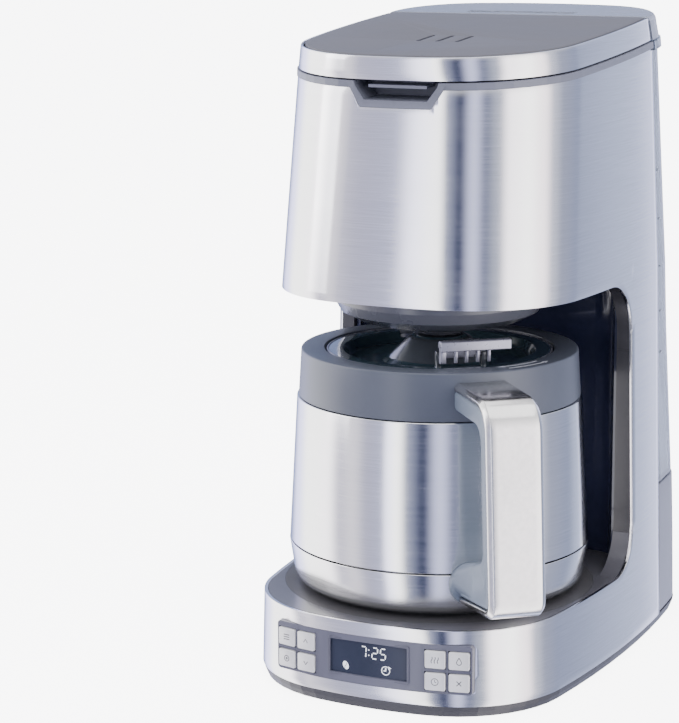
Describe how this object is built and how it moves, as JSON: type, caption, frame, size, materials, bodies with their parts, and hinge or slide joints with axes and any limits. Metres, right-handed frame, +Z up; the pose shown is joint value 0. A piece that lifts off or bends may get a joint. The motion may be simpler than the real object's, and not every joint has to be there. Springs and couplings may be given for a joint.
{
  "type": "drip coffee maker",
  "caption": "Drip coffee maker with a steel-wrapped body, hinged lid, lift-off rear water tank, front control panel and a thermal carafe with a side handle.",
  "frame": {"origin": "centre of the bounding box's underside, on the table", "axes": "+Z up, -Y towards the front with the control panel, +X to the right of someone facing it"},
  "size_m": [0.2016, 0.316, 0.3693],
  "materials": {
    "stainless_wrap": "horizontal brushed grain",
    "upper_liner": "fine moulded texture",
    "column_liner": "fine moulded texture",
    "base_deck": "fine moulded texture",
    "bay_back_panel": "polished",
    "carafe_pad": "matte",
    "base_pan": "fine moulded texture",
    "rubber_feet": "matte",
    "base_screws": "plated",
    "rear_housing": "fine moulded texture",
    "spine_panel": "moulded",
    "cord_gland": "matte",
    "tank_socket": "moulded",
    "socket_seal": "silicone",
    "top_rim": "fine moulded texture",
    "control_bezel": "satin",
    "display_window": "polished",
    "display_module": "smooth",
    "control_board": "solder mask",
    "power_board": "solder mask",
    "flow_heater": "extruded",
    "heater_bracket": "zinc plated",
    "thermostat": "plain",
    "inlet_hose": "silicone",
    "riser_hose": "silicone",
    "water_spout": "moulded",
    "drip_funnel": "moulded",
    "filter_basket": "moulded",
    "mesh_filter": "woven mesh",
    "basket_handle": "moulded",
    "drip_stop_valve": "moulded",
    "drip_stop_spring": "drawn wire",
    "lid_band": "horizontal brushed grain",
    "lid_panel": "fine moulded texture",
    "lid_inner_cover": "moulded",
    "lid_hinge_pin": "plated",
    "shower_head": "moulded",
    "water_tank": "translucent",
    "tank_lid": "translucent grey",
    "tank_hinge_pin": "plated",
    "tank_valve_body": "moulded",
    "tank_valve_stem": "moulded",
    "tank_valve_spring": "drawn wire",
    "carafe_shell": "horizontal brushed grain",
    "carafe_base_band": "horizontal brushed grain",
    "carafe_flask": "drawn",
    "carafe_collar": "fine moulded texture",
    "carafe_lid": "polished",
    "lid_gasket": "silicone",
    "pour_lever": "satin",
    "handle_grip": "soft touch",
    "handle_strip": "satin",
    "option_button": "satin silver",
    "up_button": "satin silver",
    "set_button": "satin silver",
    "down_button": "satin silver",
    "aroma_button": "satin silver",
    "brew_button": "satin silver",
    "auto_start_button": "satin silver",
    "cancel_button": "satin silver"
  },
  "bodies": {
    "housing": {"stainless_wrap": "stainless_wrap", "upper_liner": "upper_liner", "column_liner": "column_liner", "base_deck": "base_deck", "bay_back_panel": "bay_back_panel", "carafe_pad": "carafe_pad", "base_pan": "base_pan", "rubber_feet": "rubber_feet", "base_screws": "base_screws", "rear_housing": "rear_housing", "spine_panel": "spine_panel", "cord_gland": "cord_gland", "tank_socket": "tank_socket", "socket_seal": "socket_seal", "top_rim": "top_rim", "control_bezel": "control_bezel", "display_window": "display_window", "display_module": "display_module", "control_board": "control_board", "power_board": "power_board", "flow_heater": "flow_heater", "heater_bracket": "heater_bracket", "thermostat": "thermostat", "inlet_hose": "inlet_hose", "riser_hose": "riser_hose", "water_spout": "water_spout", "drip_funnel": "drip_funnel", "filter_basket": "filter_basket", "mesh_filter": "mesh_filter", "drip_stop_spring": "drip_stop_spring", "lid_hinge_pin": "lid_hinge_pin"},
    "head_lid": {"lid_band": "lid_band", "lid_panel": "lid_panel", "lid_inner_cover": "lid_inner_cover", "shower_head": "shower_head"},
    "tank": {"water_tank": "water_tank", "tank_hinge_pin": "tank_hinge_pin", "tank_valve_body": "tank_valve_body", "tank_valve_spring": "tank_valve_spring"},
    "tank_cover": {"tank_lid": "tank_lid"},
    "tank_valve": {"tank_valve_stem": "tank_valve_stem"},
    "carafe": {"carafe_shell": "carafe_shell", "carafe_base_band": "carafe_base_band", "carafe_flask": "carafe_flask", "carafe_collar": "carafe_collar", "handle_grip": "handle_grip", "handle_strip": "handle_strip"},
    "carafe_cover": {"carafe_lid": "carafe_lid", "lid_gasket": "lid_gasket"},
    "lever": {"pour_lever": "pour_lever"},
    "bail": {"basket_handle": "basket_handle"},
    "drip_stop": {"drip_stop_valve": "drip_stop_valve"},
    "option_button": {"option_button": "option_button"},
    "up_button": {"up_button": "up_button"},
    "set_button": {"set_button": "set_button"},
    "down_button": {"down_button": "down_button"},
    "aroma_button": {"aroma_button": "aroma_button"},
    "brew_button": {"brew_button": "brew_button"},
    "auto_start_button": {"auto_start_button": "auto_start_button"},
    "cancel_button": {"cancel_button": "cancel_button"}
  },
  "joints": [
    {"name": "head_lid_hinge", "type": "hinge", "parent": "housing", "child": "head_lid", "pos_m": [-0.00304, 0.07108, 0.36151], "axis": [-1, 0, 0], "range_deg": [0, 80]},
    {"name": "tank_lift", "type": "slide", "parent": "housing", "child": "tank", "axis": [0, 0, 1], "range_m": [0, 0.06]},
    {"name": "tank_lid_hinge", "type": "hinge", "parent": "tank", "child": "tank_cover", "pos_m": [-0.00304, 0.13734, 0.35609], "axis": [-1, 0, 0], "range_deg": [0, 85]},
    {"name": "tank_valve_slide", "type": "slide", "parent": "tank", "child": "tank_valve", "axis": [0, 0, 1], "range_m": [0, 0.003], "stiffness_N_per_m": 100, "springref_m": -0.002, "deforming": ["tank_valve_spring"]},
    {"name": "carafe_slide", "type": "slide", "parent": "housing", "child": "carafe", "axis": [0, -1, 0], "range_m": [0, 0.26]},
    {"name": "carafe_lid_turn", "type": "hinge", "parent": "carafe", "child": "carafe_cover", "pos_m": [-0.00304, -0.03844, 0.18], "axis": [0, 0, 1], "range_deg": [0, 90]},
    {"name": "pour_lever_hinge", "type": "hinge", "parent": "carafe_cover", "child": "lever", "pos_m": [0.02524, -0.07215, 0.1885], "axis": [0.766, 0.6428, 0], "range_deg": [0, 5], "stiffness_Nm_per_rad": 0.1, "springref_deg": -11.46},
    {"name": "basket_bail_hinge", "type": "hinge", "parent": "housing", "child": "bail", "pos_m": [-0.00304, -0.03844, 0.3018], "axis": [-1, 0, 0], "range_deg": [0, 20]},
    {"name": "drip_stop_slide", "type": "slide", "parent": "housing", "child": "drip_stop", "axis": [0, 0, 1], "range_m": [0, 0.004], "stiffness_N_per_m": 150, "springref_m": -0.003, "deforming": ["drip_stop_spring"]},
    {"name": "option_press", "type": "slide", "parent": "housing", "child": "option_button", "axis": [0.2273, 0.9738, 0], "range_m": [0, 0.001], "stiffness_N_per_m": 500, "springref_m": -0.001},
    {"name": "up_press", "type": "slide", "parent": "housing", "child": "up_button", "axis": [0.17, 0.9854, 0], "range_m": [0, 0.001], "stiffness_N_per_m": 500, "springref_m": -0.001},
    {"name": "set_press", "type": "slide", "parent": "housing", "child": "set_button", "axis": [0.2273, 0.9738, 0], "range_m": [0, 0.001], "stiffness_N_per_m": 500, "springref_m": -0.001},
    {"name": "down_press", "type": "slide", "parent": "housing", "child": "down_button", "axis": [0.17, 0.9854, 0], "range_m": [0, 0.001], "stiffness_N_per_m": 500, "springref_m": -0.001},
    {"name": "aroma_press", "type": "slide", "parent": "housing", "child": "aroma_button", "axis": [-0.17, 0.9854, 0], "range_m": [0, 0.001], "stiffness_N_per_m": 500, "springref_m": -0.001},
    {"name": "brew_press", "type": "slide", "parent": "housing", "child": "brew_button", "axis": [-0.2273, 0.9738, 0], "range_m": [0, 0.001], "stiffness_N_per_m": 500, "springref_m": -0.001},
    {"name": "auto_start_press", "type": "slide", "parent": "housing", "child": "auto_start_button", "axis": [-0.17, 0.9854, 0], "range_m": [0, 0.001], "stiffness_N_per_m": 500, "springref_m": -0.001},
    {"name": "cancel_press", "type": "slide", "parent": "housing", "child": "cancel_button", "axis": [-0.2273, 0.9738, 0], "range_m": [0, 0.001], "stiffness_N_per_m": 500, "springref_m": -0.001}
  ]
}
